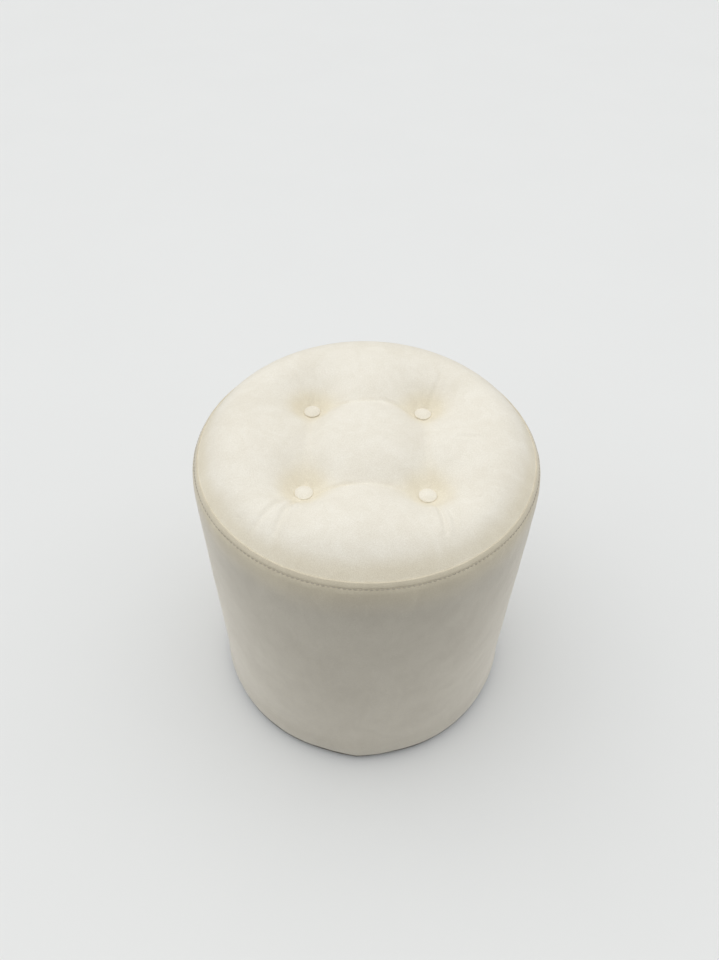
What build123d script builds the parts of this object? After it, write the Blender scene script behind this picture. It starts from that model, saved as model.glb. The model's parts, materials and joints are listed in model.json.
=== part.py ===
from build123d import *
import os
from math import acos, atan, atan2, cos, degrees, radians, sin, sqrt, tan

os.makedirs("parts", exist_ok=True)

# Overall sizes in millimetres, with the floor at z = 0
cover_radius = 190.0
seam_height = 376.0
glide_height = 5.0

# Sheet thicknesses and the room left between layers
velvet_thickness = 1.2
dust_cover_thickness = 0.5
side_foam_thickness = 10.0
wall_thickness = 3.0
board_thickness = 12.0
layer_gap = 0.3
wood_fit = 0.2

# Shape of the side band: hem corner below, drawn-in shoulder under the seam
hem_corner_radius = 6.0
hem_width = 40.0
band_shoulder_radius = 84.0
band_shoulder_angle = 20.0
seam_allowance = 8.0

# Shape of the crown: rolled edge, a valley that runs through the buttons, a puff in the middle
crown_edge_radius = 57.0
crown_seam_lean = 30.0
valley_depth = 5.0
puff_height = 8.0

# Tufts: the button square is set by its share of the seam's radius and by how far it sits towards the front
tuft_ring_share = 0.4855
button_square_shift = -10.0
tuft_depth = 36.0
tuft_bend_share = 0.4
tuft_foot_radius = 8.0
tuft_lip_radius = 50.0
tuft_hole_radius = 5.4

# Covered buttons
button_radius = 9.5
button_height = 6.0
button_dome_radius = 16.0
button_cover_thickness = 0.6
button_shell_thickness = 0.5
button_lip_width = 2.4
button_fit = 0.05
back_thickness = 1.0
loop_wire_radius = 0.8
loop_bend_radius = 3.3
loop_leg_length = 1.0

# Tufting twine and the toggle bars that hold it under the seat board
twine_radius = 0.75
twine_fit = 0.1
toggle_radius = 3.0
toggle_length = 24.0
knot_radius = 1.8

# Wooden frame
seat_pad_depth = 32.0
base_ring_width = 63.0
upright_count = 6
upright_width = 40.0
upright_depth = 20.0
wall_joint_width = 1.5
foam_joint_width = 1.0

# Countersunk frame screws
screw_radius = 2.0
screw_head_radius = 4.0
screw_length = 40.0
screw_spread = 24.0
screw_fit = 0.1

# Staples
staple_width = 10.0
staple_wire_thickness = 1.0
staple_crown_thickness = 0.6
staple_leg_length = 9.0
staple_fit = 0.05
hem_staple_count = 24
hem_staple_inset_depth = 3.5
dust_staple_count = 16
dust_staple_inset_depth = 7.0
dust_cover_overlap_width = 13.0

# Nail-on glides
glide_count = 4
glide_inset_depth = 18.0
glide_radius = 11.0
glide_edge_radius = 3.0
glide_start_angle = 45.0
nail_radius = 1.2
nail_head_radius = 3.0
nail_head_thickness = 1.0
nail_recess_depth = 1.5
nail_length = 16.0
nail_fit = 0.1

# Levels that follow from the sizes above
seat_board_top = seam_height - seat_pad_depth
hem_underside = glide_height + dust_cover_thickness
base_underside = hem_underside + velvet_thickness
base_top = base_underside + board_thickness
seat_board_underside = seat_board_top - board_thickness
allowance_bottom = seam_height - seam_allowance

# Radii that follow from the sizes above, from the outside inwards
side_foam_outside = cover_radius - velvet_thickness - layer_gap
side_foam_inside = side_foam_outside - side_foam_thickness
wall_outside = side_foam_inside - layer_gap
wall_inside = wall_outside - wall_thickness
board_radius = wall_inside - wood_fit
band_inner_radius = band_shoulder_radius - velvet_thickness
band_shoulder_centre = (
    cover_radius - band_shoulder_radius,
    seam_height - band_inner_radius * sin(radians(band_shoulder_angle)),
)
band_seam_radius = band_shoulder_centre[0] + band_inner_radius * cos(radians(band_shoulder_angle))
seam_radius = band_seam_radius - layer_gap
base_opening_radius = board_radius - base_ring_width
glide_circle_radius = board_radius - glide_inset_depth
hem_inside = cover_radius - hem_corner_radius - hem_width
dust_cover_radius = hem_inside + dust_cover_overlap_width
upright_face = sqrt((board_radius - wood_fit) ** 2 - (upright_width / 2) ** 2)
upright_centre = upright_face - upright_depth / 2

# Crown outline: centres and bend angles of its three tangent arcs
tuft_ring_radius = seam_radius * tuft_ring_share
button_half = tuft_ring_radius / sqrt(2)
edge_centre = (
    seam_radius - crown_edge_radius * cos(radians(crown_seam_lean)),
    seam_height - crown_edge_radius * sin(radians(crown_seam_lean)),
)
outer_run = edge_centre[0] - tuft_ring_radius
outer_bend = 2 * atan(valley_depth / outer_run)
valley_radius = outer_run / sin(outer_bend) - crown_edge_radius
inner_bend = 2 * atan(puff_height / tuft_ring_radius)
puff_radius = tuft_ring_radius / sin(inner_bend) - valley_radius
valley_floor = edge_centre[1] + crown_edge_radius - valley_depth
valley_centre = (tuft_ring_radius, valley_floor + valley_radius)
crown_top = valley_floor + puff_height
puff_centre = (0, crown_top - puff_radius)

# Tuft outline: a flat seat for the button, two arcs joined by a straight slope, up to the crown's top
tuft_flat_radius = button_radius + layer_gap
tuft_seat_height = crown_top - tuft_depth
tuft_arcs = tuft_foot_radius + tuft_lip_radius
tuft_slope = degrees(acos(1 - tuft_bend_share * tuft_depth / tuft_arcs))
slope_rise = tuft_depth * (1 - tuft_bend_share)
tuft_reach = tuft_flat_radius + tuft_arcs * sin(radians(tuft_slope)) + slope_rise / tan(radians(tuft_slope))

button_places = {
    "front_left": (-button_half, button_square_shift - button_half),
    "front_right": (button_half, button_square_shift - button_half),
    "back_left": (-button_half, button_square_shift + button_half),
    "back_right": (button_half, button_square_shift + button_half),
}


def turned(edges):
    """A solid of revolution about the upright axis, from an outline drawn as radius and height."""
    face = Plane.XZ * make_face(Curve() + edges)
    return revolve(face, Axis.Z, 360)


def ring(inside, outside, bottom, top):
    """A plain upright ring."""
    height = top - bottom
    body = Cylinder(outside, height, align=(Align.CENTER, Align.CENTER, Align.MIN))
    bore = Cylinder(inside, height, align=(Align.CENTER, Align.CENTER, Align.MIN))
    return Pos(0, 0, bottom) * (body - bore)


def rod(radius, bottom, top):
    """A plain upright cylinder on the axis."""
    return Pos(0, 0, bottom) * Cylinder(radius, top - bottom, align=(Align.CENTER, Align.CENTER, Align.MIN))


def around(count, start, shape):
    """Copies of a shape spaced evenly about the upright axis."""
    return [Rot(0, 0, start + 360 / count * i) * shape for i in range(count)]


def at_buttons(shape):
    """Copies of a shape at the four button places, each turned to face away from the seat's middle."""
    return [Pos(x, y, 0) * (Rot(0, 0, degrees(atan2(y, x))) * shape) for x, y in button_places.values()]


def crown_block(depth, bottom):
    """The seat's crown without tufts, with its surface moved inwards by depth."""
    edge_turn = 90 + degrees(outer_bend) - crown_seam_lean
    edge = CenterArc(edge_centre, crown_edge_radius - depth, crown_seam_lean, edge_turn)
    valley_turn = degrees(outer_bend + inner_bend)
    valley = CenterArc(valley_centre, valley_radius + depth, 270 + degrees(outer_bend), -valley_turn)
    puff = CenterArc(puff_centre, puff_radius - depth, 90 - degrees(inner_bend), degrees(inner_bend))
    foot = (edge @ 0).X
    floor_line = Line((0, bottom), (foot, bottom))
    side_line = Line((foot, bottom), edge @ 0)
    axis_line = Line(puff @ 1, (0, bottom))
    return turned([floor_line, side_line, edge, valley, puff, axis_line])


def tuft_well(depth):
    """The hollow that one button pulls into the crown, with its surface moved inwards by depth."""
    foot_centre = (tuft_flat_radius, tuft_seat_height + tuft_foot_radius)
    lip_centre = (tuft_reach, crown_top - tuft_lip_radius)
    foot = CenterArc(foot_centre, tuft_foot_radius + depth, 270, tuft_slope)
    lip = CenterArc(lip_centre, tuft_lip_radius - depth, 90 + tuft_slope, -tuft_slope)
    above = crown_top + tuft_lip_radius
    seat_line = Line((0, tuft_seat_height - depth), foot @ 0)
    slope_line = Line(foot @ 1, lip @ 0)
    rim_line = Line(lip @ 1, (tuft_reach, above))
    top_line = Line((tuft_reach, above), (0, above))
    axis_line = Line((0, above), (0, tuft_seat_height - depth))
    return turned([seat_line, foot, slope_line, lip, rim_line, top_line, axis_line])


def tufted_crown(depth, bottom):
    """The crown with all four tufts pulled in."""
    return crown_block(depth, bottom) - at_buttons(tuft_well(depth))


# Repeated small hardware, each drawn once about the axis it is driven along


def frame_screw(grow):
    """A countersunk screw with its head flush at z = 0 and its point downwards."""
    shank = screw_radius + grow
    head = screw_head_radius + grow
    outline = [
        Line((0, 0), (head, 0)),
        Line((head, 0), (shank, -(head - shank))),
        Line((shank, -(head - shank)), (shank, -screw_length + shank)),
        Line((shank, -screw_length + shank), (0, -screw_length)),
        Line((0, -screw_length), (0, 0)),
    ]
    return turned(outline)


def staple(grow):
    """A staple driven upwards, its crown under z = 0 and along the Y direction."""
    leg_size = (staple_wire_thickness + 2 * grow, staple_wire_thickness + 2 * grow, staple_leg_length + grow)
    leg = Box(*leg_size, align=(Align.CENTER, Align.CENTER, Align.MIN))
    leg_place = staple_width / 2 - staple_wire_thickness / 2
    crown = Box(staple_wire_thickness, staple_width, staple_crown_thickness, align=(Align.CENTER, Align.CENTER, Align.MAX))
    return crown + Pos(0, leg_place, 0) * leg + Pos(0, -leg_place, 0) * leg


def glide_nail(grow):
    """A flat-headed nail driven upwards through a glide."""
    shank = rod(nail_radius + grow, nail_recess_depth, nail_recess_depth + nail_length + grow)
    head = rod(nail_head_radius + grow, nail_recess_depth, nail_recess_depth + nail_head_thickness + grow)
    return shank + head


screw_circle = [
    Pos(upright_centre, side * screw_spread / 2, 0) for side in (-1, 1)
]
upright_turn = -90.0


def seat_screws(grow):
    """Screws down through the seat board into the uprights."""
    pair = [place * (Pos(0, 0, seat_board_top) * frame_screw(grow)) for place in screw_circle]
    return [copy for one in pair for copy in around(upright_count, upright_turn, one)]


def base_screws(grow):
    """Screws up through the base ring into the uprights."""
    upwards = Pos(0, 0, base_underside) * (Rot(180, 0, 0) * frame_screw(grow))
    return [copy for place in screw_circle for copy in around(upright_count, upright_turn, place * upwards)]


def hem_staples(grow):
    """Staples that hold the turned-under hem to the base ring."""
    one = Pos(board_radius - hem_staple_inset_depth, 0, hem_underside) * staple(grow)
    return around(hem_staple_count, 180 / hem_staple_count, one)


def dust_staples(grow):
    """Staples that hold the dust cover over the hem."""
    one = Pos(dust_cover_radius - dust_staple_inset_depth, 0, glide_height) * staple(grow)
    return around(dust_staple_count, 180 / dust_staple_count, one)


def glide_nails(grow):
    """One nail for each glide."""
    return around(glide_count, glide_start_angle, Pos(glide_circle_radius, 0, 0) * glide_nail(grow))


# Wooden frame

base_ring = ring(base_opening_radius, board_radius, base_underside, base_top)
base_ring = base_ring - base_screws(screw_fit) - hem_staples(staple_fit)
base_ring = base_ring - dust_staples(staple_fit) - glide_nails(nail_fit)

tuft_holes = at_buttons(rod(tuft_hole_radius, 0, crown_top))
seat_board = rod(board_radius, seat_board_underside, seat_board_top) - tuft_holes - seat_screws(screw_fit)

upright_height = seat_board_underside - base_top
upright_block = Box(upright_depth, upright_width, upright_height, align=(Align.CENTER, Align.CENTER, Align.MIN))
upright_places = around(upright_count, upright_turn, Pos(upright_centre, 0, base_top) * upright_block)
uprights = [place - seat_screws(screw_fit) - base_screws(screw_fit) for place in upright_places]

wall_gap = Box(2 * cover_radius, wall_joint_width, 2 * seam_height, align=(Align.MIN, Align.CENTER, Align.CENTER))
wall_sheet = ring(wall_inside, wall_outside, base_underside, seat_board_top) - Rot(0, 0, -90) * wall_gap

# Padding


def side_profile(depth, shoulder_turn):
    """Outer edges of the side, from the hem's flat underside to the shoulder, moved inwards by depth."""
    corner_centre = (cover_radius - hem_corner_radius, hem_underside + hem_corner_radius)
    corner = CenterArc(corner_centre, hem_corner_radius - depth, 270, 90)
    shoulder = CenterArc(band_shoulder_centre, band_shoulder_radius - depth, 0, shoulder_turn)
    return [corner, Line(corner @ 1, shoulder @ 0), shoulder]


foam_depth = velvet_thickness + layer_gap
side_foam_top = allowance_bottom - layer_gap
foam_rise = (side_foam_top - band_shoulder_centre[1]) / (band_shoulder_radius - foam_depth)
foam_outline = side_profile(foam_depth, 90 - degrees(acos(foam_rise)))
foam_start = foam_outline[0] @ 0
foam_end = foam_outline[-1] @ 1
foam_outline += [
    Line(foam_end, (side_foam_inside, foam_end.Y)),
    Line((side_foam_inside, foam_end.Y), (side_foam_inside, foam_start.Y)),
    Line((side_foam_inside, foam_start.Y), foam_start),
]
foam_gap = Box(2 * cover_radius, foam_joint_width, 2 * seam_height, align=(Align.MIN, Align.CENTER, Align.CENTER))
side_foam = turned(foam_outline) - Rot(0, 0, 90) * foam_gap

seat_foam = tufted_crown(foam_depth, seat_board_top) - tuft_holes
seat_foam = seat_foam - ring(wall_outside, cover_radius, seat_board_top, allowance_bottom)

# Velvet cover

panel_outside = tufted_crown(0, allowance_bottom)
panel_inside = tufted_crown(velvet_thickness, allowance_bottom)
top_panel = panel_outside - panel_inside - tuft_holes

band_outside = side_profile(0, band_shoulder_angle)
band_inside = side_profile(velvet_thickness, band_shoulder_angle)
band_outline = band_outside + band_inside + [
    Line(band_outside[-1] @ 1, band_inside[-1] @ 1),
    Line((hem_inside, hem_underside), band_outside[0] @ 0),
    Line((hem_inside, base_underside), band_inside[0] @ 0),
    Line((hem_inside, hem_underside), (hem_inside, base_underside)),
]
side_band = turned(band_outline)
side_band = side_band - hem_staples(staple_fit) - dust_staples(staple_fit) - glide_nails(nail_fit)

dust_cover = rod(dust_cover_radius, glide_height, hem_underside)
dust_cover = dust_cover - dust_staples(staple_fit) - glide_nails(nail_fit)

# Covered buttons, drawn about their own axis


def button_dome(depth, bottom):
    """A low dome with upright sides, moved inwards by depth."""
    dome_centre = tuft_seat_height + button_height - button_dome_radius
    sides = rod(button_radius - depth, bottom, tuft_seat_height + button_height)
    return sides & Pos(0, 0, dome_centre) * Sphere(button_dome_radius - depth)


shell_bottom = tuft_seat_height + button_cover_thickness + button_fit
shell_depth = button_cover_thickness + button_fit
back_radius = button_radius - shell_depth - button_shell_thickness - button_fit
cover_skin = button_dome(0, tuft_seat_height) - button_dome(button_cover_thickness, tuft_seat_height + button_cover_thickness)
lip_opening = rod(button_radius - button_lip_width, tuft_seat_height, tuft_seat_height + button_cover_thickness)
button_cover = cover_skin - lip_opening
button_shell = button_dome(shell_depth, shell_bottom) - button_dome(shell_depth + button_shell_thickness, shell_bottom)

loop_top = shell_bottom
loop_centre = loop_top - loop_leg_length
loop_path = [
    Line((-loop_bend_radius, loop_top), (-loop_bend_radius, loop_centre)),
    CenterArc((0, loop_centre), loop_bend_radius, 180, 180),
    Line((loop_bend_radius, loop_centre), (loop_bend_radius, loop_top)),
]
loop_wire = Plane.YZ * Wire(loop_path)
loop_start = Plane(loop_wire @ 0, z_dir=loop_wire % 0)
wire_loop = sweep(loop_start * Circle(loop_wire_radius), path=loop_wire)
button_back = rod(back_radius, loop_top, loop_top + back_thickness) + wire_loop

# Twine loop through the button's wire loop, the pad and the seat board, round the toggle bar

toggle_height = seat_board_underside - toggle_radius - twine_fit
twine_half = toggle_radius + twine_radius + twine_fit
loop_rest = loop_centre - loop_bend_radius + loop_wire_radius + twine_fit
twine_top = loop_rest + twine_radius - twine_half
twine_path = Wire([
    CenterArc((0, twine_top), twine_half, 0, 180),
    Line((-twine_half, twine_top), (-twine_half, toggle_height)),
    CenterArc((0, toggle_height), twine_half, 180, 180),
    Line((twine_half, toggle_height), (twine_half, twine_top)),
])
twine_wire = Plane.XZ * twine_path
twine_start = Plane(twine_wire @ 0, z_dir=twine_wire % 0)
tuft_twine = sweep(twine_start * Circle(twine_radius), path=twine_wire)
knot_height = toggle_height - toggle_radius - twine_fit - knot_radius
tuft_twine = tuft_twine + Pos(0, 0, knot_height) * Sphere(knot_radius)
twine_toggle = Pos(0, 0, toggle_height) * (Rot(90, 0, 0) * Cylinder(toggle_radius, toggle_length))

# Glides

glide_outline = [
    Line((0, 0), (glide_radius - glide_edge_radius, 0)),
    CenterArc((glide_radius - glide_edge_radius, glide_edge_radius), glide_edge_radius, 270, 90),
    Line((glide_radius, glide_edge_radius), (glide_radius, glide_height)),
    Line((glide_radius, glide_height), (0, glide_height)),
    Line((0, glide_height), (0, 0)),
]
nail_recess = rod(nail_head_radius + nail_fit, 0, nail_recess_depth)
glide = turned(glide_outline) - glide_nail(nail_fit) - nail_recess
glides = around(glide_count, glide_start_angle, Pos(glide_circle_radius, 0, 0) * glide)


def save(name, shape):
    """Writes one named piece; a list becomes a group of separate solids."""
    piece = Compound(children=shape) if isinstance(shape, list) else shape
    export_step(piece, f"parts/{name}.step")


save("base_ring", base_ring)
save("seat_board", seat_board)
for number, upright in enumerate(uprights, 1):
    save(f"upright_{number}", upright)
save("wall_sheet", wall_sheet)
save("side_foam", side_foam)
save("seat_foam", seat_foam)
save("top_panel", top_panel)
save("side_band", side_band)
save("dust_cover", dust_cover)
for name, (x, y) in button_places.items():
    save(f"button_cover_{name}", Pos(x, y, 0) * button_cover)
    save(f"button_shell_{name}", Pos(x, y, 0) * button_shell)
    save(f"button_back_{name}", Pos(x, y, 0) * button_back)
    save(f"tuft_twine_{name}", Pos(x, y, 0) * tuft_twine)
    save(f"twine_toggle_{name}", Pos(x, y, 0) * twine_toggle)
for number, foot in enumerate(glides, 1):
    save(f"glide_{number}", foot)
save("glide_nails", glide_nails(0))
save("seat_board_screws", seat_screws(0))
save("base_ring_screws", base_screws(0))
save("hem_staples", hem_staples(0))
save("dust_cover_staples", dust_staples(0))
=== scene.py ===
# %% [markdown]
# # A tufted velvet pouf
#
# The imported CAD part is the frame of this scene: boards, battens, screws, staples and glides stay as
# they are and only get better finishes. Everything made of cloth or padding is modelled again here as
# soft goods, in metres and in the same place, because a CAD solid can't crease, pucker or fray.

import json
from math import cos, pi, radians, sin

import bpy
import numpy as np
from mathutils import Matrix, Vector, noise

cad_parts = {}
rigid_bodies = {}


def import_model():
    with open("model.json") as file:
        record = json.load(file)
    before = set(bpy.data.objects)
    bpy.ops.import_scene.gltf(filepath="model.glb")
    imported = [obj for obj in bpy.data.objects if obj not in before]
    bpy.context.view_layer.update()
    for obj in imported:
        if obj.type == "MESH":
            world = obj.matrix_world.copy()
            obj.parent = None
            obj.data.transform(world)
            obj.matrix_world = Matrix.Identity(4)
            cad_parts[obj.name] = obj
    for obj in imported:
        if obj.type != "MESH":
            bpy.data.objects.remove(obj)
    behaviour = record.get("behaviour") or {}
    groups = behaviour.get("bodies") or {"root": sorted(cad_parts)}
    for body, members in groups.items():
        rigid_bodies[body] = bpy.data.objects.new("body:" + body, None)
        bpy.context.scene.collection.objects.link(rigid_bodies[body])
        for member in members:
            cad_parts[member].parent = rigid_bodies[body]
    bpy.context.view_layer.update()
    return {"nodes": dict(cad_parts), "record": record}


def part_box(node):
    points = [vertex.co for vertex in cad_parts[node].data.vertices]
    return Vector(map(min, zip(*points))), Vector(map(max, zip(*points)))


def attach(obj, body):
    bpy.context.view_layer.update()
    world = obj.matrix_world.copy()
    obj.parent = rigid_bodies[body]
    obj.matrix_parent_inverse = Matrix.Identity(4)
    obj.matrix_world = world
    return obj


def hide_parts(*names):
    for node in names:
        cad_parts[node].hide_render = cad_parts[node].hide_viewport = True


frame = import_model()
scene = bpy.context.scene

# %% [markdown]
# ## Sizes that the soft pieces share
#
# The cover's outline is one line of radius and height: flat hem, small corner, straight side, a shoulder
# that leans in, the rim seam, and the rolled edge of the crown. Everything below is measured from it.
# The buttons' places are read from the frame, so they can't drift away from the CAD model.

# %% Shared sizes
MM = 0.001
side_radius = 190 * MM
hem_low = 5.5 * MM
hem_corner = 6 * MM
hem_inside = 144 * MM
seam_height = 376 * MM
velvet = 1.2 * MM
shoulder_radius = 84 * MM
shoulder_angle = radians(20)
shoulder_r = side_radius - shoulder_radius
shoulder_z = seam_height - (shoulder_radius - velvet) * sin(shoulder_angle)
seam_radius = shoulder_r + (shoulder_radius - velvet) * cos(shoulder_angle) - 0.3 * MM
sewn_height = seam_height - 1.4 * MM
crown_radius = seam_radius - 2.4 * MM
crest = seam_height + 30 * MM
crown_rise = crest - sewn_height

places = ("front_left", "front_right", "back_left", "back_right")
buttons = {}
for place in places:
    low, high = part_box("button_cover_" + place)
    buttons[place] = Vector(((low.x + high.x) / 2, (low.y + high.y) / 2, low.z))
button_radius = (high.x - low.x) / 2
button_height = high.z - low.z
tuft_floor = low.z + 1.5 * MM
seat_board_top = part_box("seat_board")[1].z
print("crest", round(crest, 4), "tuft floor", round(tuft_floor, 4), "button", round(button_radius, 4))

# %% [markdown]
# ## Camera
#
# The picture looks down on the pouf at about forty-six degrees from close by, through a wide lens, so the
# drum narrows towards the floor. Place, tilt and lens were found by fitting the outline, the rim seam
# and the four buttons to the photograph; a wrong lens would show at once as a wrong taper.

# %% Camera
camera_data = bpy.data.cameras.new("photo_camera")
picture_height = 960
focal_pixels = 700
camera_data.sensor_width = 36
camera_data.lens = focal_pixels / picture_height * camera_data.sensor_width
camera = bpy.data.objects.new("photo_camera", camera_data)
scene.collection.objects.link(camera)
scene.camera = camera
pitch, yaw, roll = radians(46.313), radians(-0.767), radians(0.747)
look = Vector((sin(yaw) * cos(pitch), cos(yaw) * cos(pitch), -sin(pitch)))
level_right = Vector((cos(yaw), -sin(yaw), 0))
level_up = level_right.cross(look)
right = cos(roll) * level_right + sin(roll) * level_up
up = cos(roll) * level_up - sin(roll) * level_right
turn = Matrix((right, up, -look)).transposed()
camera_place = (0, -0.5543, 0.8986)
camera.matrix_world = Matrix.Translation(camera_place) @ turn.to_4x4()
print("camera", [round(v, 3) for v in camera.matrix_world.translation])

# %% [markdown]
# ## Meshes from grids of points
#
# Cloth is easiest to shape as a grid: numpy works out all the points at once, and quads in rows and
# columns bend evenly when they are simulated or subdivided later.

# %% Mesh helpers


def new_piece(name, points, faces):
    """A smooth-shaded mesh object in the scene."""
    mesh = bpy.data.meshes.new(name)
    mesh.from_pydata(np.asarray(points, float).tolist(), [], [list(map(int, f)) for f in faces])
    mesh.polygons.foreach_set("use_smooth", [True] * len(mesh.polygons))
    mesh.update()
    piece = bpy.data.objects.new(name, mesh)
    scene.collection.objects.link(piece)
    return piece


def grid_faces(rows, columns, closed=False):
    """Quads between the points of a grid; closed joins the last column to the first."""
    steps = columns if closed else columns - 1
    row, column = np.meshgrid(np.arange(rows - 1), np.arange(steps), indexing="ij")
    after = (column + 1) % columns
    corners = [row * columns + column, row * columns + after]
    corners += [(row + 1) * columns + after, (row + 1) * columns + column]
    return np.stack(corners, -1).reshape(-1, 4)


def read_points(mesh):
    """All points of a mesh as an array."""
    flat = np.empty(len(mesh.vertices) * 3)
    mesh.vertices.foreach_get("co", flat)
    return flat.reshape(-1, 3)


def smooth_step(low, high, value):
    """0 below low, 1 above high, and a soft S between them."""
    t = np.clip((value - low) / (high - low), 0, 1)
    return t * t * (3 - 2 * t)


def hump(distance, width):
    """1 at no distance, falling off softly to both sides."""
    return np.exp(-((distance / width) ** 2))


# %% [markdown]
# ## Seat, first shape
#
# On the real pouf a disc of velvet lies over foam. Four buttons on twine pull it down, and its edge is
# sewn to the side. The first shape is worked out as a height over the plan: a crown with a rolled edge,
# a tent-shaped well at each button, and a shallow valley along each side of the button square. The grid
# is a square bent into a disc, so there is no pole in the middle where creases would gather.

# %% Seat shape
seat_count = 81
seat_swell = 5.0 * MM
# In degrees: the rolled edge leans more, and so is rounder, in front than at the back
edge_lean, lean_change = 38, 7
well_reach = 26 * MM
well_power = 1.08
valley_drop = 12.5 * MM
valley_reach = 14 * MM
crisp_fold, soft_fold = 1.5 * MM, 7 * MM
button_gap = 0.5 * MM
round_the_square = ("front_left", "front_right", "back_right", "back_left")
corner_xy = np.array([buttons[place].xy for place in round_the_square])


def crown_line(share, angle):
    """Radius and height of the crown without tufts, from the middle (0) to the rim seam (1)."""
    lean = np.radians(edge_lean - lean_change * np.sin(angle))
    edge = crown_rise / (1 - np.sin(lean))
    flat_end = crown_radius - edge * np.cos(lean)
    along = share * (flat_end + edge * (pi / 2 - lean))
    turned = pi / 2 - np.maximum(along - flat_end, 0) / edge
    flat = np.minimum(along, flat_end)
    swell = seat_swell * (1 - (flat / flat_end) ** 2) ** 1.5
    return flat + edge * np.cos(turned), crest - edge * (1 - np.sin(turned)) + swell


def disc_grid(count):
    """Share of the way to the rim, and angle, of each point of a square grid bent into a disc."""
    line = np.linspace(-1, 1, count)
    u, v = np.meshgrid(line, line, indexing="ij")
    steep = np.abs(v) > np.abs(u)
    long, short = np.where(steep, v, u), np.where(steep, u, v)
    bend = pi / 4 * np.divide(short, long, out=np.zeros_like(u), where=long != 0)
    angle = np.where(steep, pi / 2 - bend, bend) + np.where(long < 0, pi, 0)
    return np.abs(long).ravel(), angle.ravel()


def tuft_pull(x, y):
    """How strongly the buttons hold the cloth down, from 0 to 1."""
    free = np.ones_like(x)
    for bx, by in corner_xy:
        away = np.maximum(np.hypot(x - bx, y - by) - button_radius - button_gap, 0)
        free *= 1 - np.exp(-((away / well_reach) ** well_power))
    return 1 - free


def line_distance(x, y, start, end):
    """Distance in plan from a straight line between two points."""
    run = end - start
    t = np.clip(((x - start[0]) * run[0] + (y - start[1]) * run[1]) / run.dot(run), 0, 1)
    return np.hypot(x - start[0] - t * run[0], y - start[1] - t * run[1])


def valley(x, y):
    """1 at the bottom of the four valleys and 0 far away; the ones left and right are soft."""
    depth = np.zeros_like(x)
    for side, rounding in enumerate((soft_fold, crisp_fold, soft_fold, crisp_fold)):
        near = line_distance(x, y, corner_xy[side], corner_xy[side - 1])
        depth = np.maximum(depth, np.exp(-(np.hypot(near, rounding) - rounding) / valley_reach))
    return depth


share, angle = disc_grid(seat_count)
radius, height = crown_line(share, angle)
seat_x, seat_y = radius * np.cos(angle), radius * np.sin(angle)
pull = tuft_pull(seat_x, seat_y)
hold = 1 - smooth_step(0.86, 1.0, share)
height_to_buttons = (height - tuft_floor) * pull
height -= hold * (height_to_buttons + valley_drop * valley(seat_x, seat_y) * (1 - pull))
print("seat middle", round(height[len(height) // 2], 4), "lowest", round(height.min(), 4))

# %% [markdown]
# ## Seat, settled by cloth simulation
#
# Between the buttons the foam pushes the velvet up, and near them the cloth has more length than it needs
# and buckles into small folds. Blender's cloth does both: a little pressure swells the free cloth, and
# a slight growth of the weave gives it the spare length. The rim, the buttons and the valleys are held.

# %% Cloth helper


def settle(points, faces, grip, pressure, growth, most, frames=18):
    """Swell a sheet as cloth; grip is how firmly each point is held, most is how far one may move."""
    sheet = new_piece("cloth_at_work", points, faces)
    group = sheet.vertex_groups.new(name="grip")
    tenths = np.round(np.clip(grip, 0, 1) * 10).astype(int)
    for step in range(1, 11):
        group.add(np.flatnonzero(tenths == step).tolist(), step / 10, "REPLACE")
    cloth = sheet.modifiers.new("settle", "CLOTH")
    cloth.settings.quality = 5
    cloth.settings.mass = 0.15
    cloth.settings.tension_stiffness = 30
    cloth.settings.compression_stiffness = 30
    cloth.settings.shear_stiffness = 12
    cloth.settings.bending_stiffness = 1.0
    cloth.settings.tension_damping = 12
    cloth.settings.use_pressure = True
    cloth.settings.uniform_pressure_force = pressure
    cloth.settings.shrink_min = -growth
    cloth.settings.vertex_group_mass = group.name
    cloth.settings.effector_weights.gravity = 0
    cloth.point_cache.frame_end = frames
    for number in range(1, frames + 1):
        scene.frame_set(number)
    settled = read_points(sheet.evaluated_get(bpy.context.evaluated_depsgraph_get()).data)
    scene.frame_set(1)
    bpy.data.objects.remove(sheet)
    move = settled - points
    length = np.linalg.norm(move, axis=1, keepdims=True)
    print("cloth moved up to", round(length.max(), 4), "and on average", round(length.mean(), 4))
    return move * most * np.tanh(length / most) / np.maximum(length, 1e-9)


def evened(grid, passes):
    """A grid of moves with each point led towards the mean of its neighbours, its edge kept."""
    for _ in range(passes):
        mean = (grid[:-2, 1:-1] + grid[2:, 1:-1] + grid[1:-1, :-2] + grid[1:-1, 2:]) / 4
        grid[1:-1, 1:-1] = 0.4 * grid[1:-1, 1:-1] + 0.6 * mean
    return grid


def finer(points):
    """Put a point midway between each two of a grid, on a smooth curve through their neighbours."""
    for axis in (0, 1):
        line = np.moveaxis(points, axis, 0)
        ends = np.concatenate([2 * line[:1] - line[1:2], line, 2 * line[-1:] - line[-2:-1]])
        middle = (9 * (ends[1:-2] + ends[2:-1]) - ends[:-3] - ends[3:]) / 16
        dense = np.empty((2 * len(line) - 1,) + line.shape[1:])
        dense[::2], dense[1::2] = line, middle
        points = np.moveaxis(dense, 0, axis)
    return points


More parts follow.
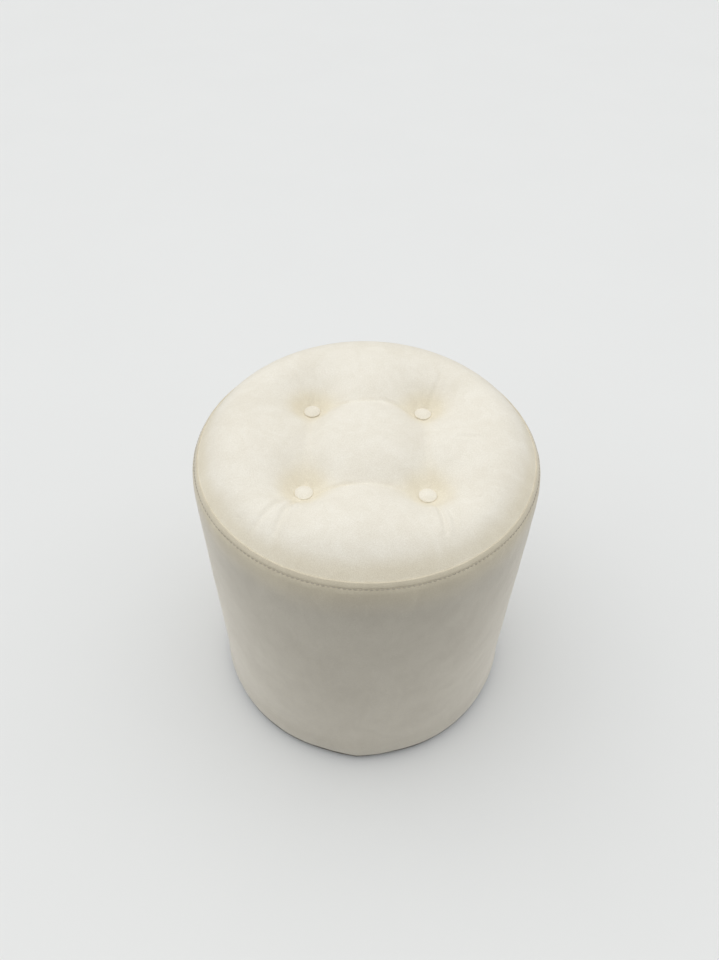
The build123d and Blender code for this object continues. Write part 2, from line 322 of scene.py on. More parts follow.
# %% Settle the seat
near_button = np.min([np.hypot(seat_x - bx, seat_y - by) for bx, by in corner_xy], axis=0)
grip = 1 - smooth_step(button_radius + 1 * MM, button_radius + 4 * MM, near_button)
grip = np.maximum(grip, 0.5 * valley(seat_x, seat_y) ** 4)
grip = np.maximum(grip, smooth_step(0.93, 0.99, share))
top = np.stack([seat_x, seat_y, height], -1)
faces = grid_faces(seat_count, seat_count)[:, ::-1]
swell = settle(top, faces, grip, pressure=3, growth=0.004, most=4 * MM)
top = top + evened(swell.reshape(seat_count, seat_count, 3), passes=6).reshape(-1, 3)
top = finer(finer(top.reshape(seat_count, seat_count, 3)))
fine_count = len(top)
print("seat grid", fine_count, "highest", round(top[..., 2].max(), 4))

# %% [markdown]
# ## Seat, fine creases
#
# A few creases are too thin for the simulation's grid: the pull lines that fan out from the buttons and
# the thin fold that lies along a valley. Each is a line in plan. The cloth dips along the line and
# stands up a little beside it, fading out at both ends, which is how a pressed fold looks.

# %% Creases
# Start, bend and end in plan, width and depth, all in millimetres
creases = [
    ([(-68, -86), (-78, -115), (-85, -142)], 3.6, 2.0),
    ([(-73, -84), (-92, -112), (-108, -136)], 3.4, 1.2),
    ([(69, -88), (75, -116), (77, -140)], 3.4, 2.0),
    ([(73, -85), (82, -112), (87, -134)], 3.2, 1.0),
    ([(-51, -76), (-20, -74), (10, -74)], 2.6, 1.7),
    ([(10, -74), (30, -74), (50, -75)], 2.6, 0.9),
    ([(-50, 50), (-15, 53), (20, 53)], 2.6, 1.0),
    ([(15, 56), (35, 54), (53, 49)], 2.2, 1.4),
    ([(96, -11), (108, -13), (122, -17)], 3.0, 0.9),
    ([(-64, 42), (-64, 0), (-62, -55)], 4.5, 0.4),
    ([(64, 42), (65, 0), (63, -55)], 4.5, 0.45),
    ([(-68, 62), (-80, 80), (-88, 104)], 3.2, 0.8),
    ([(67, 62), (80, 80), (86, 104)], 3.2, 0.8),
]


def crease(points, line, width, drop):
    """Height change of one crease at the given points."""
    steps = 40
    t = np.linspace(0, 1, steps)[:, None]
    path = (1 - t) ** 2 * line[0] + 2 * t * (1 - t) * line[1] + t**2 * line[2]
    gaps = np.hypot(points[:, None, 0] - path[None, :, 0], points[:, None, 1] - path[None, :, 1])
    nearest = gaps.argmin(axis=1)
    gap = gaps[np.arange(len(points)), nearest] / (width * MM)
    fade = np.sin(pi * np.clip(nearest / (steps - 1) * 0.9 + 0.1, 0, 1)) ** 0.7
    return drop * MM * fade * (0.55 * np.exp(-((gap - 1.5) ** 2)) - np.exp(-(gap**2)))


crease_reach = 50 * MM
top = top.reshape(-1, 3)
for line, width, drop in creases:
    line = np.array(line) * MM
    close = np.hypot(*(top[:, :2] - line.mean(axis=0)).T) < crease_reach
    top[close, 2] += crease(top[close], line, width, drop)
print("creases", len(creases))

# %% [markdown]
# ## Seat, closed below
#
# The velvet turns in at the seam and the foam sits on the seat board, so rings of points carry the
# rim down the tuck and along the foam's wall to a flat underside. A closed form is what a stuffed pad
# is, and it also gives the model a proper inside.

# %% Seat
last = fine_count - 1
walk = [(i, 0) for i in range(last)] + [(last, j) for j in range(last)]
walk += [(i, last) for i in range(last, 0, -1)] + [(0, j) for j in range(last, 0, -1)]
rim = np.array([i * fine_count + j for i, j in walk])
rim_angle = np.arctan2(top[rim, 1], top[rim, 0])
rolled_edge = [(0.7, -0.55), (1.15, -1.15), (1.2, -1.7), (0.6, -2.2), (-0.5, -3.0), (-1.0, -4.5)]
foam_radius = 177.6 * MM
foam_low = seat_board_top + 0.3 * MM
tuck = [(crown_radius + out * MM, sewn_height + rise * MM) for out, rise in rolled_edge]
tuck += [(181.5 * MM, seam_height - 8 * MM), (foam_radius, seam_height - 10 * MM)]
tuck += [(foam_radius, seat_board_top + 4 * MM), (175 * MM, foam_low)]
tuck += [(reach * MM, foam_low) for reach in (130, 80, 30)]
rim_x, rim_y = np.cos(rim_angle), np.sin(rim_angle)
below = [np.stack([r * rim_x, r * rim_y, 0 * rim_angle + z], -1) for r, z in tuck]
middle = np.array([[0, 0, foam_low]])
ring_numbers = [len(top) + k * len(rim) + np.arange(len(rim)) for k in range(len(tuck))]
rings = np.vstack([rim] + ring_numbers)
wall = rings.ravel()[grid_faces(len(rings), len(rim), True)]
quads = np.vstack([grid_faces(fine_count, fine_count), wall])
middle_number = len(top) + len(tuck) * len(rim)
fan = [[middle_number, a, b] for a, b in zip(np.roll(rings[-1], -1), rings[-1])]
seat = new_piece("seat_top", np.vstack([top] + below + [middle]), quads[:, ::-1].tolist() + fan)
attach(seat, "root")
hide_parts("top_panel", "seat_foam")
print("seat points", len(seat.data.vertices), "top", round(top[:, 2].max(), 4))

# %% [markdown]
# ## Side cover
#
# The side is one strip of velvet, sewn into a tube at the back, drawn down over the padded wall and turned
# under the base, where it is gathered and stapled. It is made as a turned outline. Its rows lie close
# together where the topstitch pulls it in, and its columns at the back seam, for the same reason.

# %% Side outline
rim_drop = 2.5 * MM
stitch_drop = rim_drop + 5.8 * MM
shoulder_length = shoulder_radius * shoulder_angle
seam_pinch, pinch_reach = 4.2 * MM, 16 * MM


def on_shoulder(along):
    """Radius and height at a distance below the rim, down the rounded shoulder and the straight side."""
    turn_left = np.maximum(shoulder_angle - along / shoulder_radius, 0)
    below = np.maximum(along - shoulder_length, 0)
    drawn_in = seam_pinch * np.maximum(1 - along / pinch_reach, 0) ** 2
    reach = shoulder_r + shoulder_radius * np.cos(turn_left) - drawn_in
    return np.stack([reach, shoulder_z + shoulder_radius * np.sin(turn_left) - below], -1)


def outward(along):
    """Direction straight out of the cloth at a distance below the rim."""
    step = on_shoulder(along + 0.1 * MM) - on_shoulder(along - 0.1 * MM)
    return np.stack([-step[:, 1], step[:, 0]], -1) / np.linalg.norm(step, axis=1, keepdims=True)


straight_end = shoulder_length + shoulder_z - hem_low - hem_corner
drops = np.concatenate([np.arange(2.5, 13, 0.55) * MM, np.arange(14, 30, 2) * MM])
drops = np.concatenate([drops, np.linspace(32 * MM, straight_end, 84)])
side_line, side_out = on_shoulder(drops), outward(drops)
groove = 0.5 * hump(drops - stitch_drop, 0.9 * MM)
plump = 0.25 * hump(drops - (rim_drop + stitch_drop) / 2, 2.4 * MM)
below_plump = 0.15 * hump(drops - stitch_drop - 5 * MM, 3.5 * MM)
side_line = side_line + side_out * (plump + below_plump - groove)[:, None] * MM
print("side rows", len(side_line), "straight to", round(float(side_line[-1, 1]), 4))

# %% Side rows and columns
lip_steps = [(-2.2, -3.8), (-2.0, -2.2), (-1.5, -1.1), (-1.0, -0.5), (-0.4, -0.1)]
lip = side_line[0] + np.array(lip_steps) * MM
turn_under = np.linspace(0, pi / 2, 9)[1:]
corner_r, corner_z = side_radius - hem_corner, hem_low + hem_corner
corner_out, corner_down = hem_corner * np.cos(turn_under), hem_corner * np.sin(turn_under)
corner = np.stack([corner_r + corner_out, corner_z - corner_down], -1)
under_rows = 12
under_r = np.linspace(corner_r - 3 * MM, hem_inside, under_rows)
under = np.stack([under_r, np.full(under_rows, hem_low)], -1)
wall_inside, inside_low = 178.4 * MM, 6.5 * MM
inner = [(hem_inside, inside_low), (wall_inside, inside_low), (wall_inside, 200 * MM)]
inner += [(wall_inside, 364 * MM), (180.2 * MM, 368 * MM)]
outline = np.vstack([lip, side_line, corner, under, inner])

back = pi / 2
fine = np.arange(-7, 7.01, 0.7) * MM / side_radius
seam_edge = 9 * MM / side_radius
round_front = np.linspace(back + seam_edge, back + 2 * pi - seam_edge, 460)
theta = np.concatenate([back + fine, round_front])
r = outline[:, :1] + 0 * theta
z = outline[:, 1:] + 0 * theta
x_round, y_round = np.cos(theta), np.sin(theta)
print("side grid", r.shape)

# %% [markdown]
# ## Side cover, unevenness
#
# A drawn cover is never a true cylinder. Slow noise gives it waves, quick noise puckers it under the rim, and
# a ridge beside a ditch is the closing seam at the back. At the foot it swells a little before it turns
# under, with one blunt corner in front. Each of these is a change of radius that fades out where it
# doesn't belong, which is easier to control than a sculpted or simulated tube.

# %% Side unevenness


def ripple(scale, seed):
    """Smooth seeded unevenness over the side, about -1 to 1."""
    values = [
        noise.noise(Vector((px * scale, py * scale, pz * scale + seed)))
        for px, py, pz in np.stack([r * x_round, r * y_round, z], -1).reshape(-1, 3)
    ]
    return np.array(values).reshape(r.shape)


# Only the rows that can be seen are moved, not the lip in the seam or the inside
shown = np.zeros(len(outline))
shown[3 : len(outline) - len(inner) - 1] = 1
seam_gap = (theta - back + pi) % (2 * pi) - pi
seam_arc = np.abs(seam_gap) * side_radius
corner_left = 4 * MM
front_arc = ((theta + back + pi) % (2 * pi) - pi) * side_radius + corner_left
upright = smooth_step(hem_low + 2 * MM, hem_low + 10 * MM, z)
wave = 0.7 * MM * ripple(14, 1.0) + 0.25 * MM * ripple(55, 7.0)
pucker = 0.22 * MM * ripple(120, 3.0) * hump(seam_height - z, 14 * MM)
seam_ridge = 0.5 * MM * hump(seam_arc - 3 * MM, 1.8 * MM)
back_seam = seam_ridge - 0.9 * MM * hump(seam_arc, 0.8 * MM)
corner_push = 2.6 * MM * np.exp(-np.abs(front_arc) / (24 * MM))
corner_push -= 0.8 * MM * hump(np.abs(front_arc) - 48 * MM, 22 * MM)
outer_rows = smooth_step(side_radius - 12 * MM, side_radius - 2 * MM, r)
foot_bump = corner_push * hump(z - hem_low, 34 * MM) * outer_rows
foot_swell = 1.8 * MM * hump(z - 26 * MM, 14 * MM) * outer_rows
rim_fade = smooth_step(0, 12 * MM, seam_height - z)
r = r + shown[:, None] * (upright * (wave * rim_fade + pucker + back_seam) + foot_bump + foot_swell)
fold_count = 46
hem_folds = np.abs(np.sin(theta * fold_count + 2.5 * np.sin(theta * 5)))
gather = hem_folds * smooth_step(side_radius - 8 * MM, hem_inside + 12 * MM, r)
z = z + shown[:, None] * (1 - upright) * 0.9 * MM * gather
print("side stands out by up to", round(float((r - outline[:, :1]).max()), 4))

# %% Side cover
side = new_piece(
    "side_cover",
    np.stack([r * x_round, r * y_round, z], -1).reshape(-1, 3),
    grid_faces(len(outline) + 1, len(theta), True)[:, ::-1] % (len(outline) * len(theta)),
)
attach(side, "root")
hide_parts("side_band", "side_foam")
print("side points", len(side.data.vertices))

# %% [markdown]
# ## Topstitch
#
# A row of stitches runs a few millimetres under the rim seam and holds the seam allowance flat. Each stitch
# is a short bent bead of thread that dives into the cloth at both ends. One stitch is a small grid, and
# all of them are placed round the rim in one go.

# %% Topstitch
stitch_pitch = 5.0 * MM
stitch_length = 3.4 * MM
thread_radius = 0.42 * MM
stitch_rise, stitch_sink = 0.5 * MM, 0.32 * MM
stitch_at = np.array([stitch_drop])
stitch_out = outward(stitch_at)
stitch_r, stitch_z = on_shoulder(stitch_at)[0]
stitch_count = int(2 * pi * stitch_r / stitch_pitch)
rings_each, points_each = 7, 6
along = np.linspace(-1, 1, rings_each)
bead = thread_radius * np.sqrt(1 - (along * 0.97) ** 4)
arch = (1 - along**2) * stitch_rise - stitch_sink
round_angle = np.linspace(0, 2 * pi, points_each, endpoint=False)
stitch_points, stitch_faces = [], []
for number in range(stitch_count):
    middle = 2 * pi * number / stitch_count
    spin = middle + along * stitch_length / 2 / stitch_r
    out = arch[:, None] + bead[:, None] * np.cos(round_angle)
    side_step = bead[:, None] * np.sin(round_angle)
    ring_r = stitch_r + out * stitch_out[0, 0] - side_step * stitch_out[0, 1]
    ring_z = stitch_z + out * stitch_out[0, 1] + side_step * stitch_out[0, 0]
    ring = np.stack([ring_r * np.cos(spin)[:, None], ring_r * np.sin(spin)[:, None], ring_z], -1)
    first_point = rings_each * points_each * number
    stitch_faces.append(grid_faces(rings_each, points_each, True) + first_point)
    stitch_points.append(ring.reshape(-1, 3))
topstitch = new_piece("topstitch", np.vstack(stitch_points), np.vstack(stitch_faces))
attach(topstitch, "root")
print("stitches", stitch_count)

# %% [markdown]
# ## Covered buttons
#
# A covered button is a metal shell with a disc of velvet drawn over it and tucked under its edge. The disc
# is gathered where it turns under, so the edge has small pleats, while the top stays smooth.

# %% Button covers
cover_line = []
dome_radius = 16 * MM
edge_roll = 0.9 * MM
pleat_depth = 0.22 * MM
for step in np.linspace(0, 1, 14):
    reach = step * (button_radius - edge_roll)
    drop = dome_radius - np.sqrt(dome_radius**2 - reach**2)
    cover_line.append((reach, button_height - drop))
edge_low = cover_line[-1][1]
for bend in np.linspace(0.5, pi, 9):
    edge_out = button_radius - edge_roll + edge_roll * sin(bend)
    cover_line.append((edge_out, edge_low - edge_roll * (1 - cos(bend)) * 1.1))
cover_line += [(button_radius - 1.1 * MM, 0.8 * MM), (button_radius - 2.4 * MM, 0.05 * MM)]
cover_line = np.array(cover_line)
spokes = np.linspace(0, 2 * pi, 64, endpoint=False)
below_edge = (button_height * 0.6 - cover_line[:, 1]) / (button_height * 0.5)
pleat_share = np.clip(below_edge, 0, 1)[:, None]
for number, place in enumerate(places):
    folds = np.sin(spokes * 15 + number) * np.sin(spokes * 4 + 2 * number)
    cover_r = cover_line[1:, :1] - pleat_depth * pleat_share[1:] * (1 + folds)
    cover_z = cover_line[1:, 1:] + 0 * spokes
    ring = np.stack([cover_r * np.cos(spokes), cover_r * np.sin(spokes), cover_z], -1)
    peak = np.array([[0, 0, cover_line[0, 1]]])
    cover_points = np.vstack([peak, ring.reshape(-1, 3)]) + np.array(buttons[place])
    fan = [[0, 1 + i, 1 + (i + 1) % len(spokes)] for i in range(len(spokes))]
    quads = (grid_faces(len(cover_line) - 1, len(spokes), True)[:, ::-1] + 1).tolist()
    cover = new_piece("button_cover_cloth_" + place, cover_points, fan + quads)
    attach(cover, "root")
    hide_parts("button_cover_" + place)

# %% [markdown]
# ## Dust cover
#
# Under the base a thin black non-woven cloth hides the frame. It is stapled round its edge, so it is tight
# there, with short pulls at the staples, and hangs down a millimetre or two in the middle.

# %% Dust cover
dust_low, dust_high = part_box("dust_cover")
dust_radius = (dust_high.x - dust_low.x) / 2
dust_count = 61
dust_share, dust_angle = disc_grid(dust_count)
dust_r = dust_share * dust_radius
pull_count, pull_depth, deepest = 16, 0.25 * MM, 1.6 * MM
pulls = pull_depth * np.cos(dust_angle * pull_count + pi) * smooth_step(0.7, 0.95, dust_share)
sag = deepest * (1 - dust_share**2)
dust_z = dust_low.z + 0.2 * MM - sag + pulls * (1 - smooth_step(0.95, 1, dust_share))
dust_points = np.stack([dust_r * np.cos(dust_angle), dust_r * np.sin(dust_angle), dust_z], -1)
dust = new_piece("dust_cover_cloth", dust_points, grid_faces(dust_count, dust_count))
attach(dust, "root")
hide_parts("dust_cover")
print("dust cover radius", round(dust_radius, 4))

# %% [markdown]
# ## Sums on sockets
#
# A material is a graph of nodes, and most of it is arithmetic on noise patterns. This small class wraps a
# node's output, so that a line such as 1 - mask * 0.3 adds its own Math nodes and reads like a formula.

# %% Wire class


class Wire:
    """A node's output that can be used in Python sums."""

    def __init__(self, socket):
        self.socket = socket

    def node(self, kind, settings=None, sockets=None, out=0):
        """Another node in the same tree: its settings first, then its sockets' values or links."""
        tree = self.socket.id_data
        made = tree.nodes.new(kind)
        for name, value in (settings or {}).items():
            setattr(made, name, value)
        for name, value in (sockets or {}).items():
            if isinstance(value, Wire):
                tree.links.new(value.socket, made.inputs[name])
            else:
                made.inputs[name].default_value = value
        return Wire(made.outputs[out])

    def math(self, operation, first, second):
        """A Math node on two numbers or wires."""
        return self.node("ShaderNodeMath", {"operation": operation}, {0: first, 1: second})

    def __add__(self, other):
        return self.math("ADD", self, other)

    def __sub__(self, other):
        return self.math("SUBTRACT", self, other)

    def __rsub__(self, other):
        return self.math("SUBTRACT", other, self)

    def __mul__(self, other):
        return self.math("MULTIPLY", self, other)

    def __pow__(self, other):
        return self.math("POWER", self, other)

    __radd__ = __add__
    __rmul__ = __mul__

    def mix(self, low, high):
        """A colour between low and high, with this wire as the share of high."""
        settings = {"data_type": "RGBA", "clamp_factor": True}
        return self.node("ShaderNodeMix", settings, {0: self, 6: low, 7: high}, 2)

    def tinted(self, tint):
        """This colour times another."""
        settings = {"data_type": "RGBA", "blend_type": "MULTIPLY"}
        return self.node("ShaderNodeMix", settings, {0: 1.0, 6: self, 7: tint}, 2)

    def ramp(self, low, high):
        """This wire stretched so that low becomes 0 and high becomes 1."""
        settings = {"interpolation_type": "SMOOTHSTEP"}
        return self.node("ShaderNodeMapRange", settings, {0: self, 1: low, 2: high})


# %% [markdown]
# ## Parts of a finish
#
# Every finish starts in the same way: a material, its shader, and the place on the object that drives the
# patterns, so that none of them needs an unwrapped mesh. Noise makes the colour uneven, and used as a
# height it makes the bump that breaks up the highlight.

# %% Finish helpers


def new_finish(name, **constants):
    """A material, its shader with constants set on its sockets, and the place on the object as a wire."""
    material = bpy.data.materials.new(name)
    material.use_nodes = True
    tree = material.node_tree
    shader = tree.nodes["Principled BSDF"]
    for socket, value in constants.items():
        shader.inputs[socket.replace("_", " ")].default_value = value
    return material, shader, Wire(tree.nodes.new("ShaderNodeTexCoord").outputs["Object"])


def plug(shader, **wires):
    """Link wires to the shader's sockets."""
    for socket, wire in wires.items():
        shader.id_data.links.new(wire.socket, shader.inputs[socket.replace("_", " ")])


def grain(place, scale, detail=2.0, rough=0.5, twist=0.0, stretch=(1, 1, 1)):
    """Noise with features of about 1 / scale metres, drawn out where stretch is small."""
    spread = place.node("ShaderNodeMapping", {}, {"Vector": place, "Scale": stretch})
    sockets = {"Vector": spread, "Scale": scale, "Detail": detail}
    sockets.update({"Roughness": rough, "Distortion": twist})
    return place.node("ShaderNodeTexNoise", {}, sockets)


def relief(height, depth, strength=1.0):
    """A bump normal from a height of 0 to 1, depth metres deep."""
    sockets = {"Height": height, "Distance": depth, "Strength": strength}
    return height.node("ShaderNodeBump", {}, sockets)


# %% [markdown]
# ## Cream velvet
#
# Velvet is a forest of short upright threads. Where hands have brushed it the threads lean another way and
# the patch looks lighter or darker, and seen along the surface their tips catch the light. So the colour
# mixes slow patches, brush marks and single tufts of pile, sheen lightens grazing edges, and a fine bump
# breaks up the highlight. Bands of height paint light and shade into the colour: painted shade, darker and
# yellower like light bounced between folds, in the wells and the rim, and painted light on the shoulder under
# the seam.

# %% Velvet
untinted = (1.0, 1.0, 1.0, 1)


def velvet_finish(name, low, high, sheen, bands=()):
    """Short pile, coloured low to high as it lies; each band tints it below and above a height."""
    sheen_tint = (1.0, 0.97, 0.9, 1)
    material, shader, place = new_finish(
        name, Roughness=0.88, Sheen_Weight=sheen, Sheen_Roughness=0.4, Sheen_Tint=sheen_tint
    )
    shader.inputs["Specular IOR Level"].default_value = 0.15
    patches = grain(place, 14, 2, 0.5, 0.8)
    strokes = grain(place, 38, 3, 0.6, 1.6, (1, 1, 0.55))
    pile = grain(place, 1100, 2, 0.6)
    nap = grain(place, 210, 3, 0.65, 0.4)
    lay = patches.ramp(0.3, 0.7) * 0.4 + strokes.ramp(0.3, 0.72) * 0.35 + nap * 0.25
    tips = pile.ramp(0.35, 0.7).mix((0.90, 0.89, 0.87, 1), untinted)
    colour = lay.mix(low, high).tinted(tips)
    level = place.node("ShaderNodeSeparateXYZ", {}, {0: place}, 2)
    for start, end, waver, below, above in bands:
        colour = colour.tinted((level + patches * waver).ramp(start, end).mix(below, above))
    surface = pile * 0.5 + nap * 0.35 + strokes * 0.15
    plug(shader, Base_Color=colour, Normal=relief(surface, 0.9 * MM, 0.5))
    return material


pale, paler = (0.815, 0.775, 0.675, 1), (0.90, 0.873, 0.79, 1)
# A band: the heights where it starts and ends, how far noise moves it, and the tints below and above it
# Painted shade: the top velvet below about 0.39 m is a little darker and yellower, in the wells and at the
# rim
painted_well_shade = (0.381, 0.395, 6 * MM, (0.975, 0.95, 0.885, 1), untinted)
# Painted light: the side above about 0.35 m, under the seam, is lighter and warmer; below it is painted
# shade, a little darker
shoulder = (0.33, 0.38, 20 * MM, (0.96, 0.96, 0.955, 1), (1.13, 1.095, 1.0, 1))
top_velvet = velvet_finish("cream_velvet", pale, paler, 0.35, [painted_well_shade])
button_velvet = velvet_finish("cream_velvet_buttons", pale, paler, 0.35)
# Painted shade: the side is a darker copy of the same cream velvet
side_shade_low, side_shade_high = (0.58, 0.548, 0.475, 1), (0.665, 0.635, 0.555, 1)
shaded_side_velvet = velvet_finish("cream_velvet_side_shaded", side_shade_low, side_shade_high, 0.95, [shoulder])
seat.data.materials.append(top_velvet)
for place in places:
    bpy.data.objects["button_cover_cloth_" + place].data.materials.append(button_velvet)
side.data.materials.append(shaded_side_velvet)
print("velvet nodes", len(top_velvet.node_tree.nodes))

# %% [markdown]
# ## Painted shade along the hem
#
# A dark line runs along the foot. Part of it is the shadow that the light casts, and the rest is painted
# shade. A darker colour alone wouldn't show, because the sheen lightens
# just this edge, so a second, dark shader without sheen is blended in below a height that wavers a little.

# %% Painted shade along the hem


def paint_shade_below(material, start, end, low, high):
    """Fade a finish into a dark shader without sheen below a height, as painted shade."""
    tree = material.node_tree
    piled = Wire(tree.nodes["Principled BSDF"].outputs[0])
    place = piled.node("ShaderNodeTexCoord", out="Object")
    level = place.node("ShaderNodeSeparateXYZ", {}, {0: place}, 2)
    colour = grain(place, 210, 3, 0.65).mix(low, high)
    sockets = {"Base Color": colour, "Roughness": 0.95, "Specular IOR Level": 0.1}
    shaded_cloth = place.node("ShaderNodeBsdfPrincipled", {}, sockets)
    kept = (level + grain(place, 14, 2, 0.5, 0.8) * (6 * MM)).ramp(start, end)
    blend = place.node("ShaderNodeMixShader", {}, {0: kept, 1: shaded_cloth, 2: piled})
    tree.links.new(blend.socket, tree.nodes["Material Output"].inputs["Surface"])


hem_shade_low, hem_shade_high = (0.09, 0.083, 0.068, 1), (0.15, 0.14, 0.115, 1)
# Painted shade along the foot: dark up to 9.5 mm above the hem's underside, gone by 13.5 mm
paint_shade_below(shaded_side_velvet, hem_low + 9.5 * MM, hem_low + 13.5 * MM, hem_shade_low, hem_shade_high)
print("side velvet nodes", len(shaded_side_velvet.node_tree.nodes))

# %% [markdown]
# ## Thread, twine and dust cloth
#
# Thread and twine are twisted, so slanting bands run along them. The dust cloth is pressed from loose
# fibres with rows of small dots that hold them together.

# %% Threads and thin cloth


def thread_finish(name, low, high, bands):
    """Twisted yarn: slanting bands across the strand, with stray fibres."""
    material, shader, place = new_finish(name, Roughness=0.75, Sheen_Weight=0.25)
    slant = place.node("ShaderNodeMapping", {}, {"Vector": place, "Rotation": (0.6, 0.7, 0.5)})
    sockets = {"Vector": slant, "Scale": bands, "Distortion": 1.5, "Detail": 1.0}
    twist = place.node("ShaderNodeTexWave", {}, sockets, 1)
    fibres = grain(place, 3000, 2)
    shade = twist * 0.7 + fibres * 0.3
    plug(shader, Base_Color=shade.mix(low, high), Normal=relief(shade, 0.15 * MM, 0.6))
    return material


def dust_cloth_finish():
    """Black fibres pressed together in rows of dots."""
    material, shader, place = new_finish("black_nonwoven", Roughness=0.85, Sheen_Weight=0.1)
    fibres = grain(place, 900, 4, 0.7, 2.0)
    sockets = {"Vector": place, "Scale": 520.0, "Randomness": 0.15}
    dots = place.node("ShaderNodeTexVoronoi", {"feature": "F1"}, sockets)
    pressed = dots.ramp(0.22, 0.38)
    shade = fibres * 0.6 + pressed * 0.4
    colour = shade.mix((0.012, 0.012, 0.014, 1), (0.05, 0.05, 0.055, 1))
    plug(shader, Base_Color=colour, Normal=relief(pressed * 0.6 + fibres * 0.4, 0.25 * MM, 0.8))
    return material


thread_material = thread_finish("cream_thread", (0.36, 0.325, 0.26, 1), (0.52, 0.48, 0.40, 1), 420.0)
topstitch.data.materials.append(thread_material)
dust_material = dust_cloth_finish()
dust.data.materials.append(dust_material)
print("finishes", thread_material.name, dust_material.name)

# %% [markdown]
# ## Wood
#
# The hidden frame is plywood, pine and hardboard. Grain is noise drawn out along the length of the wood.
# The edges of the plywood show its layers, so there the colour follows the height instead, wherever
# the surface faces sideways.

# %% Wood finishes


def plain_wood(name, low, high, stretch, scale):
    """Straight-grained wood with darker late growth and open pores."""
    material, shader, place = new_finish(name, Roughness=0.7)
    growth = grain(place, scale, 4, 0.6, 0.6, stretch)
    pores = grain(place, scale * 7, 2, 0.5, 0.0, stretch)
    shade = growth.ramp(0.3, 0.7) * 0.75 + pores * 0.25
    colour = shade.mix(high, low)
    plug(shader, Base_Color=colour, Normal=relief(pores, 0.2 * MM, 0.4), Roughness=shade * 0.2 + 0.6)
    return material


def plywood_finish():
    """Pale veneer on the faces and thin layers on the edges."""
    material, shader, place = new_finish("birch_plywood", Roughness=0.65)
    veneer = grain(place, 60, 4, 0.6, 1.0, (1, 0.08, 1))
    pores = grain(place, 500, 2, 0.5, 0.0, (1, 0.06, 1))
    level = place.node("ShaderNodeSeparateXYZ", {}, {0: place}, 2)
    layer_pair = 2.4 * MM
    layers = level.math("SINE", level * (2 * pi / layer_pair), 0.0).ramp(-0.4, 0.4)
    facing = place.node("ShaderNodeNewGeometry", {}, {}, 1)
    upward = facing.node("ShaderNodeSeparateXYZ", {}, {0: facing}, 2)
    edge = (1 - upward * upward).ramp(0.4, 0.6)
    face_colour = (veneer * 0.8 + pores * 0.2).mix((0.58, 0.42, 0.25, 1), (0.78, 0.63, 0.43, 1))
    edge_colour = (layers * 0.7 + pores * 0.3).mix((0.33, 0.21, 0.11, 1), (0.70, 0.55, 0.36, 1))
    plug(shader, Base_Color=edge.mix(face_colour, edge_colour), Normal=relief(pores, 0.2 * MM, 0.5))
    return material


def hardboard_finish():
    """Brown board pressed from fine fibres, with cloudy patches."""
    material, shader, place = new_finish("brown_hardboard", Roughness=0.6)
    fibres = grain(place, 700, 4, 0.7, 1.5)
    clouds = grain(place, 25, 2)
    shade = fibres * 0.7 + clouds * 0.3
    colour = shade.mix((0.10, 0.055, 0.028, 1), (0.22, 0.13, 0.07, 1))
    plug(shader, Base_Color=colour, Normal=relief(fibres, 0.15 * MM, 0.5), Roughness=clouds * 0.3 + 0.45)
    return material


wood = {
    "plywood": plywood_finish(),
    "pine": plain_wood("pine", (0.48, 0.29, 0.13, 1), (0.78, 0.58, 0.34, 1), (1, 1, 0.04), 160),
    "toggle_wood": plain_wood("beech", (0.50, 0.33, 0.18, 1), (0.70, 0.52, 0.33, 1), (1, 0.1, 1), 420),
    "hardboard": hardboard_finish(),
}
print("wood finishes", len(wood))

# %% [markdown]
# ## Metal and plastic
#
# Screws, staples and button shells are plated steel: fine drawn lines in the roughness and a few dull
# spots. The glides are moulded black plastic with a fine grain, scuffed where they slide on the floor.

# %% Metal and plastic finishes


def steel_finish(name, low, high, rough):
    """Plated steel with drawn lines and dull spots."""
    material, shader, place = new_finish(name, Metallic=1.0, Roughness=rough)
    drawn = grain(place, 2500, 2, 0.5, 0.0, (1, 1, 0.1))
    dull = grain(place, 260, 3, 0.6)
    shade = drawn * 0.4 + dull.ramp(0.35, 0.7) * 0.6
    plug(shader, Base_Color=shade.mix(low, high), Roughness=dull * 0.3 + (rough - 0.15))
    plug(shader, Normal=relief(drawn, 0.05 * MM, 0.3))
    return material


def plastic_finish():
    """Moulded black plastic, scuffed pale where it meets the floor."""
    material, shader, place = new_finish("black_plastic", Roughness=0.5)
    moulded = grain(place, 1800, 2)
    scuffs = grain(place, 240, 4, 0.7, 2.5, (1, 0.25, 1)).ramp(0.55, 0.75)
    level = place.node("ShaderNodeSeparateXYZ", {}, {0: place}, 2)
    worn = scuffs * (1 - level.ramp(0.2 * MM, 1.8 * MM))
    colour = worn.mix((0.022, 0.022, 0.024, 1), (0.13, 0.13, 0.13, 1))
    plug(shader, Base_Color=colour, Roughness=moulded * 0.2 + 0.4, Normal=relief(moulded, 0.1 * MM, 0.4))
    return material


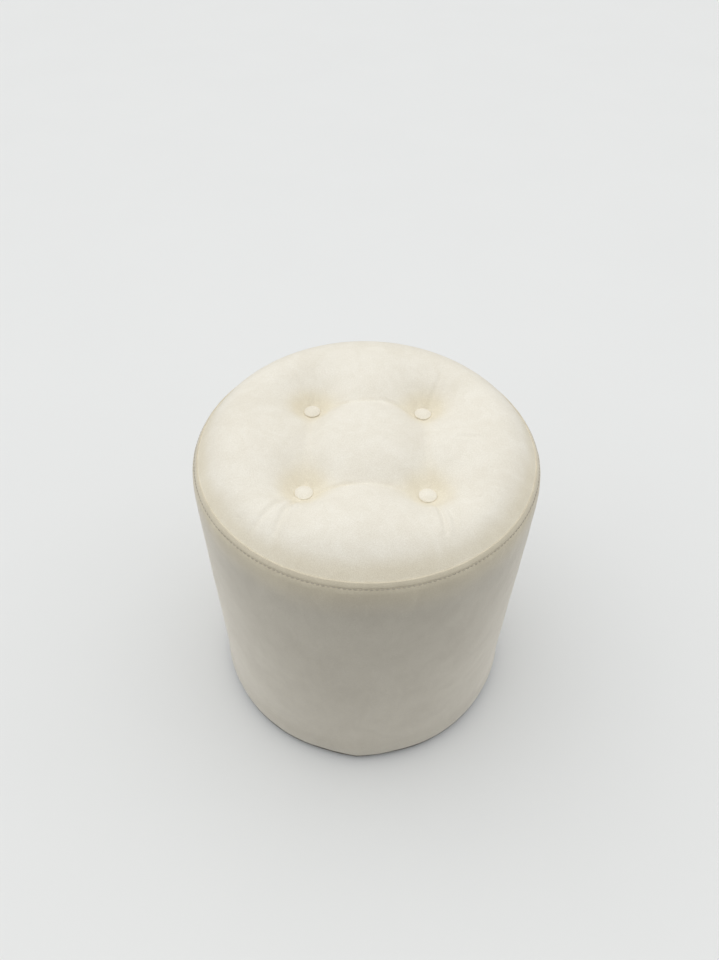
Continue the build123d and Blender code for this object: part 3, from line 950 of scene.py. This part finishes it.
zinc_low, zinc_high = (0.42, 0.42, 0.42, 1), (0.68, 0.68, 0.67, 1)
tin_low, tin_high = (0.50, 0.50, 0.49, 1), (0.74, 0.74, 0.72, 1)
twine_low, twine_high = (0.55, 0.50, 0.40, 1), (0.84, 0.81, 0.73, 1)
slot_finish = dict(wood)
slot_finish["steel"] = steel_finish("zinc_plated_steel", zinc_low, zinc_high, 0.42)
slot_finish["button_metal"] = steel_finish("pressed_tinplate", tin_low, tin_high, 0.35)
slot_finish["glide_plastic"] = plastic_finish()
slot_finish["twine"] = thread_finish("waxed_twine", twine_low, twine_high, 260.0)
shown_nodes = 0
for subpart in frame["record"]["subparts"]:
    node = frame["nodes"][subpart["node"]]
    if subpart["material_slot"] in slot_finish:
        node.data.materials.clear()
        node.data.materials.append(slot_finish[subpart["material_slot"]])
        shown_nodes += 1
print("CAD nodes with new finishes", shown_nodes)

# %% [markdown]
# ## Floor
#
# The pouf stands on a plain pale floor that runs on behind it. A floor this bright would also throw a lot of
# light back up at the cover, more than the photo shows. So the camera sees one colour, while bounced
# light meets another, which is darker under the pouf and far away from it.

# %% Floor


def seen_directly(wire):
    """1 for rays from the camera, straight or by way of a mirror or glass, and 0 for the rest."""
    path = wire.node("ShaderNodeLightPath").socket.node
    rays = ("Is Camera Ray", "Is Glossy Ray", "Is Transmission Ray")
    straight, mirrored, through = [Wire(path.outputs[ray]) for ray in rays]
    return straight.math("MAXIMUM", straight, mirrored.math("MAXIMUM", mirrored, through))


floor_reach = 8
floor_corners = [(-1, -1), (1, -1), (1, 1), (-1, 1)]
floor_points = [(x * floor_reach, y * floor_reach, 0) for x, y in floor_corners]
floor = new_piece("floor", floor_points, [(0, 1, 2, 3)])
floor_material, floor_shader, floor_place = new_finish("pale_floor", Roughness=0.6)
floor_shader.inputs["Specular IOR Level"].default_value = 0.2
speckle = grain(floor_place, 3, 3, 0.6)
floor_seen = speckle.mix((0.755, 0.765, 0.76, 1), (0.775, 0.785, 0.78, 1))
away = floor_place.node("ShaderNodeVectorMath", {"operation": "LENGTH"}, {0: floor_place}, 1)
lit = away.ramp(0.19, 0.25) * (1 - away.ramp(0.4, 1.0))
bounce = lit.mix((0.26, 0.26, 0.25, 1), (0.72, 0.71, 0.69, 1))
plug(floor_shader, Base_Color=seen_directly(floor_place).mix(bounce, floor_seen))
floor.data.materials.append(floor_material)
print("floor", 2 * floor_reach, "m wide")

# %% [markdown]
# ## Light
#
# The light is soft and comes mostly from above, a little from the back and the left, with some more from both
# sides. A world whose brightness depends only on the direction lights floor and pouf evenly, with no edge
# of a lamp to see. The camera itself sees a plain pale background.

# %% Light
light_from = Vector((-0.085, 0.11, 0.98)).normalized()
ambient, overhead, focus, sides = 0.05, 1.71, 2.5, 1.0
world = bpy.data.worlds.new("soft_studio")
scene.world = world
world.use_nodes = True
background = world.node_tree.nodes["Background"]
background.inputs["Color"].default_value = (1, 1, 1, 1)
heading = Wire(world.node_tree.nodes.new("ShaderNodeTexCoord").outputs["Generated"])
sockets = {0: heading, 1: light_from}
toward = heading.node("ShaderNodeVectorMath", {"operation": "DOT_PRODUCT"}, sockets, 1)
across = heading.node("ShaderNodeSeparateXYZ", {}, {0: heading})
from_above = toward.math("MAXIMUM", toward, 0.0) ** focus * overhead
strength = from_above + across * across * sides + ambient
seen = seen_directly(heading)
backdrop = 0.8
shown_strength = strength * (1 - seen) + seen * backdrop
world.node_tree.links.new(shown_strength.socket, background.inputs["Strength"])
scene.view_settings.view_transform = "Standard"
print("light from", [round(v, 2) for v in light_from])
